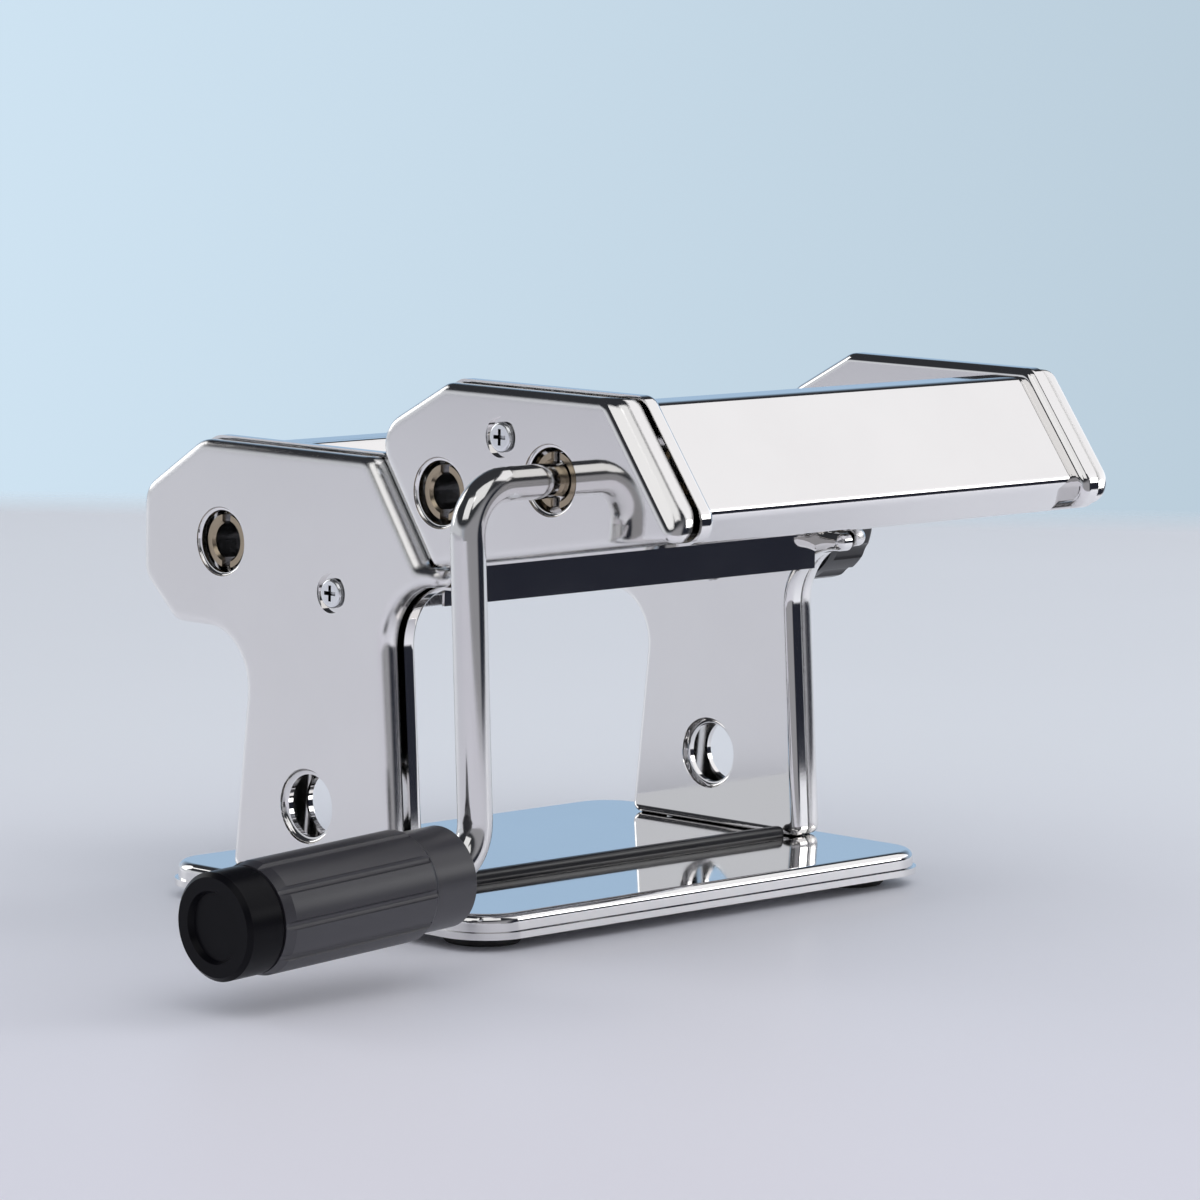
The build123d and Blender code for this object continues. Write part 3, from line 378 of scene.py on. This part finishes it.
def baseBand():
    # a long low bead from wall to wall. At angle t of its arch it stands w |cos(t)|^square to either
    # side of its middle line and h sin(t)^square high, and towards each end w and h shrink as the sine
    # of a quarter turn while the bead runs on by w times one less the cosine
    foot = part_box("base_plate")[1][2]
    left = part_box("side_frame_left")[1][0] + bandLook["clear"]
    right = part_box("side_frame_right")[0][0] - bandLook["clear"]
    half = (bandLook["back"] - bandLook["front"]) / 2
    middle = (bandLook["back"] + bandLook["front"]) / 2
    angle = np.linspace(0.0, np.pi, bandLook["arch"])
    y = half * np.sign(np.cos(angle)) * np.abs(np.cos(angle)) ** bandLook["square"]
    z = bandLook["height"] * np.clip(np.sin(angle), 0.0, 1.0) ** bandLook["square"]
    turn = np.linspace(bandLook["blunt"], np.pi / 2, bandLook["ends"])
    run = half * (1.0 - np.cos(turn))
    x = np.concatenate([left + run, right - run[::-1]])
    shrink = np.concatenate([np.sin(turn), np.sin(turn[::-1])])
    across, up = middle + shrink[:, None] * y, foot + shrink[:, None] * z
    grid = np.stack([np.repeat(x[:, None], len(y), 1), across, up], 2)
    return pieceFrom("base_band", grid.reshape(-1, 3), tubeFaces(len(x), len(y)), finishes["black_plastic"],
                     "machine_body")


# the seven thickness settings stamped round the face of the adjuster knob
numberLook = {"ring": 0.0130, "height": 0.0046, "thick": 0.0003, "proud": 0.00006, "step": 25.0, "count": 7,
              "metal": 0.15}


def knobNumbers():
    # each figure is laid flat and carried round the ring: its own across and up become the tangent
    # and the radius, one step of the angle for each setting. The last figure, the closed gap, is on top
    low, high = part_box("adjuster_knob")
    middleY, middleZ, face = (low[1] + high[1]) / 2, (low[2] + high[2]) / 2, high[0]
    vertices, faces = [], []
    for setting in range(1, numberLook["count"] + 1):
        letter = bpy.data.curves.new("figure", "FONT")
        letter.body = str(setting)
        letter.size = numberLook["height"]
        letter.align_x, letter.align_y = "CENTER", "CENTER"
        letter.extrude = numberLook["thick"] / 2
        loose = bpy.data.objects.new("figure", letter)
        bpy.context.scene.collection.objects.link(loose)
        flat = bpy.data.meshes.new_from_object(loose.evaluated_get(bpy.context.evaluated_depsgraph_get()))
        points = np.empty(3 * len(flat.vertices), dtype=np.float32)
        flat.vertices.foreach_get("co", points)
        points = points.reshape(-1, 3).astype(float)
        phi = math.radians(numberLook["step"]) * (numberLook["count"] - setting)
        up = np.array([0, -math.sin(phi), math.cos(phi)])
        across = np.array([0, math.cos(phi), math.sin(phi)])
        placed = (points[:, :1] * across + (points[:, 1:2] + numberLook["ring"]) * up
                  + (points[:, 2:3] + numberLook["proud"] - numberLook["thick"] / 2) * np.array([1, 0, 0])
                  + np.array([face, middleY, middleZ]))
        faces += [tuple(k + len(vertices) for k in polygon.vertices) for polygon in flat.polygons]
        vertices += placed.tolist()
        bpy.data.objects.remove(loose)
        bpy.data.curves.remove(letter)
        bpy.data.meshes.remove(flat)
    silver = turnedSteel("stampedFoil", (0.70, 0.70, 0.72), (0.84, 0.84, 0.86), 0.45, 1200.0)
    silver.node_tree.nodes["Principled BSDF"].inputs["Metallic"].default_value = numberLook["metal"]
    return pieceFrom("knob_numbers", vertices, faces, silver, "knob", smooth=False)


# the spring inside the adjuster knob; on the machine it shortens as the knob is pulled out, and here it is one
# fixed coil
springLook = {"wire": 0.0009, "turns": 3.5, "along": 141, "around": 12, "pressed": 0.43}


def knobSpring():
    # a round wire wound on a cylinder: the centre line runs evenly along x while it circles the axis,
    # and each section is a circle in the plane of the radius and of the line square to the wire
    low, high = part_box("knob_spring")
    wire = springLook["wire"] / 2
    middleY, middleZ = (low[1] + high[1]) / 2, (low[2] + high[2]) / 2
    coil = (high[1] - low[1]) / 2 - wire
    share = np.linspace(0.0, 1.0, springLook["along"])
    phi = 2 * np.pi * springLook["turns"] * share
    radial = np.stack([np.zeros_like(phi), np.cos(phi), np.sin(phi)], 1)
    centre = coil * radial + np.array([0, middleY, middleZ])
    centre[:, 0] = low[0] + wire + (high[0] - low[0] - 2 * wire) * share
    along = np.gradient(centre, axis=0)
    along /= np.linalg.norm(along, axis=1)[:, None]
    square = np.cross(along, radial)
    angle = np.linspace(0.0, 2 * np.pi, springLook["around"], endpoint=False)
    section = np.cos(angle)[:, None] * radial[:, None] + np.sin(angle)[:, None] * square[:, None]
    grid = centre[:, None] + wire * section
    faces = tubeFaces(springLook["along"], springLook["around"])
    coilPiece = pieceFrom("pressed_spring", grid.reshape(-1, 3), faces, finishes["zinc_steel"], "adjuster")
    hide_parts("knob_spring")
    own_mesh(coilPiece)
    return coilPiece


baseBand()
knobNumbers()
knobSpring()
print("base band, knob numbers and knob spring")


# floor, air, lamps and camera
# near is the darker floor tone painted in towards the viewer: painted shade
studio = {"floor": (0.80, 0.825, 0.875), "near": (0.765, 0.755, 0.83), "wall": (0.575, 0.71, 0.82),
          "behind": 1.07, "before": 0.45, "endless": 9.0, "reach": 3.5, "soft": 0.05, "heading": 46.05,
          "toneFrom": -0.05, "toneSoft": 0.35, "mottle": 0.96, "rough": 0.5}


def fadeAcross(tree, along, low, high, soft):
    # 1 between two distances along a direction on the floor, fading to 0 outside them
    coords = tree.nodes.new("ShaderNodeTexCoord")
    distance = reachAlong(tree, coords.outputs["Object"], along)
    rise = remap(tree, distance, 0.0, 1.0, low - soft, low + soft)
    fall = remap(tree, distance, 1.0, 0.0, high - soft, high + soft)
    return arithmetic(tree, "MULTIPLY", rise, fall)


def stageFloor():
    # a table top that fades out along soft edges, square to the viewer; towards the viewer it is painted a
    # darker, more lavender tone, painted shade
    size = studio["reach"]
    corners = [(-size, -size, 0), (size, -size, 0), (size, size, 0), (-size, size, 0)]
    mesh = bpy.data.meshes.new("floor")
    mesh.from_pydata(corners, [], [(0, 1, 2, 3)])
    floor = bpy.data.objects.new("floor", mesh)
    bpy.context.scene.collection.objects.link(floor)
    material, tree, shader = newMaterial("floorPaint")
    mottle = noise(tree, objectCoords(tree), 3.0, 3.0, 0.5)
    shader.inputs["Roughness"].default_value = studio["rough"]
    turn = math.radians(studio["heading"])
    away = (math.sin(turn), math.cos(turn), 0)
    # the near colour, blended in towards the viewer, is painted shade on the floor
    nearPaintedShadeTone, farTone = (colourBlend(tree, mottle, tuple(studio["mottle"] * c for c in colour), colour)
                         for colour in (studio["near"], studio["floor"]))
    farther = fadeAcross(tree, away, studio["toneFrom"], studio["endless"], studio["toneSoft"])
    link(tree, colourBlend(tree, farther, nearPaintedShadeTone, farTone), shader.inputs["Base Color"])
    # polished metal sees the table end sooner in front than the viewer does
    seen = fadeAcross(tree, away, -studio["endless"], studio["behind"], studio["soft"])
    near = fadeAcross(tree, (0, 1, 0), -studio["before"], studio["endless"], studio["soft"])
    path = tree.nodes.new("ShaderNodeLightPath")
    cover = tree.nodes.new("ShaderNodeMix")
    link(tree, path.outputs["Is Glossy Ray"], cover.inputs["Factor"])
    link(tree, seen, cover.inputs["A"])
    link(tree, arithmetic(tree, "MULTIPLY", seen, near), cover.inputs["B"])
    link(tree, cover.outputs["Result"], shader.inputs["Alpha"])
    mesh.materials.append(material)
    return floor


# soft boxes, all turned to the middle of the machine: place and size in metres, power in watts
lampTarget = (0, 0, 0.1)
lamps = {
    "softRight": {"place": (1.75, -0.78, 1.62), "size": (2.2, 2.2), "watts": 14.2, "colour": (1.0, 0.995, 1.01)},
    "lowRight": {"place": (1.45, -1.32, 0.62), "size": (0.6, 0.45), "watts": 3.0, "colour": (1, 1, 1)},
    "softFront": {"place": (-0.45, -1.15, 1.75), "size": (1.5, 1.5), "watts": 6.0, "colour": (1, 1, 1)},
    "stripBack": {"place": (-0.45, 1.9, 0.85), "size": (0.9, 1.2), "watts": 5.0, "colour": (1, 1, 1)},
    "softLeft": {"place": (-1.7, -0.5, 1.5), "size": (1.4, 1.4), "watts": 5.5, "colour": (1, 1, 1)},
}


def areaLamp(name, look):
    lamp = bpy.data.lights.new(name, "AREA")
    lamp.shape = "RECTANGLE"
    lamp.size, lamp.size_y = look["size"]
    lamp.energy = look["watts"]
    lamp.color = look["colour"]
    item = bpy.data.objects.new(name, lamp)
    item.location = look["place"]
    item.rotation_euler = (Vector(lampTarget) - Vector(look["place"])).to_track_quat("-Z", "Y").to_euler()
    item.visible_camera = False
    bpy.context.scene.collection.objects.link(item)
    return item


# colours of the air, and over what share of an axis each of them gives way to the next
air = {"light": (0.95, 0.965, 1.0), "strength": 0.66, "ceiling": (0.03, 0.032, 0.037),
       "front": (0.018, 0.020, 0.030), "viewer": (0.30, 0.30, 0.32), "side": (0.62, 0.64, 0.68),
       "mirrored": (0.37, 0.52, 0.70), "wallShares": (1.08, 0.87), "wallTurn": (-0.10, 0.10),
       "backTurn": (-0.7, -0.2), "frontTurn": (0.86, 0.95), "roomTurn": (-0.45, 0.20),
       "ceilingRise": (0.20, 0.55), "slope": (-0.3, 0, 0.95), "slopeRise": (0.38, 0.50)}


def directionBlend(tree, axis, limits, first, second):
    # blends two colours by how far the ray's direction points along an axis
    coords = tree.nodes.new("ShaderNodeTexCoord")
    share = remap(tree, reachAlong(tree, coords.outputs["Generated"], axis), 0.0, 1.0, *limits)
    return colourBlend(tree, share, first, second)


def studioWorld():
    # soft even light; the viewer sees a pale blue wall, and polished metal sees a darker room with
    # that wall at its back
    world = bpy.data.worlds.new("studioAir")
    world.use_nodes = True
    tree = world.node_tree
    tree.nodes.clear()
    turn = math.radians(studio["heading"])
    output = tree.nodes.new("ShaderNodeOutputWorld")
    lit, seen, mirrored = (tree.nodes.new("ShaderNodeBackground") for _ in range(3))
    path = tree.nodes.new("ShaderNodeLightPath")
    lit.inputs["Color"].default_value = (*air["light"], 1)
    lit.inputs["Strength"].default_value = air["strength"]
    bright, dim = (tuple(share * c for c in studio["wall"]) for share in air["wallShares"])
    across = (math.cos(turn), -math.sin(turn), 0)
    link(tree, directionBlend(tree, across, air["wallTurn"], bright, dim), seen.inputs["Color"])
    back = directionBlend(tree, across, air["backTurn"], air["side"], air["mirrored"])
    front = directionBlend(tree, across, air["frontTurn"], air["viewer"], air["front"])
    room = directionBlend(tree, (0, 1, 0), air["roomTurn"], front, back)
    room = directionBlend(tree, (0, 0, 1), air["ceilingRise"], room, air["ceiling"])
    room = directionBlend(tree, air["slope"], air["slopeRise"], room, air["ceiling"])
    link(tree, room, mirrored.inputs["Color"])
    gloss = tree.nodes.new("ShaderNodeMixShader")
    view = tree.nodes.new("ShaderNodeMixShader")
    link(tree, path.outputs["Is Glossy Ray"], gloss.inputs["Fac"])
    link(tree, lit.outputs[0], gloss.inputs[1])
    link(tree, mirrored.outputs[0], gloss.inputs[2])
    link(tree, path.outputs["Is Camera Ray"], view.inputs["Fac"])
    link(tree, gloss.outputs[0], view.inputs[1])
    link(tree, seen.outputs[0], view.inputs[2])
    link(tree, view.outputs[0], output.inputs["Surface"])
    bpy.context.scene.world = world


# the angles are in degrees, and the focal length is in widths of the frame
viewer = {"heading": 46.05, "drop": 6.79, "roll": 0.98, "distance": 1.738, "focus": 6012.0 / 1200.0,
          "target": (0.0, -0.0185, 0.087), "film": 36.0, "clip": (0.05, 60.0)}


def setCamera():
    heading, drop, roll = (math.radians(viewer[k]) for k in ("heading", "drop", "roll"))
    flat = math.cos(drop)
    forward = Vector((math.sin(heading) * flat, math.cos(heading) * flat, -math.sin(drop)))
    level = Vector((math.cos(heading), -math.sin(heading), 0))
    up = level.cross(forward)
    right = level * math.cos(roll) + up * math.sin(roll)
    upright = -level * math.sin(roll) + up * math.cos(roll)
    data = bpy.data.cameras.new("viewer")
    data.sensor_width = viewer["film"]
    data.lens = viewer["film"] * viewer["focus"]
    data.clip_start, data.clip_end = viewer["clip"]
    camera = bpy.data.objects.new("viewer", data)
    turn = Matrix((right, upright, -forward)).transposed()
    place = Vector(viewer["target"]) - forward * viewer["distance"]
    camera.matrix_world = Matrix.Translation(place) @ turn.to_4x4()
    bpy.context.scene.collection.objects.link(camera)
    bpy.context.scene.camera = camera


stageFloor()
studioWorld()
for name, look in lamps.items():
    areaLamp(name, look)
setCamera()
bpy.context.scene.view_settings.view_transform = "Standard"
print("studio ready")
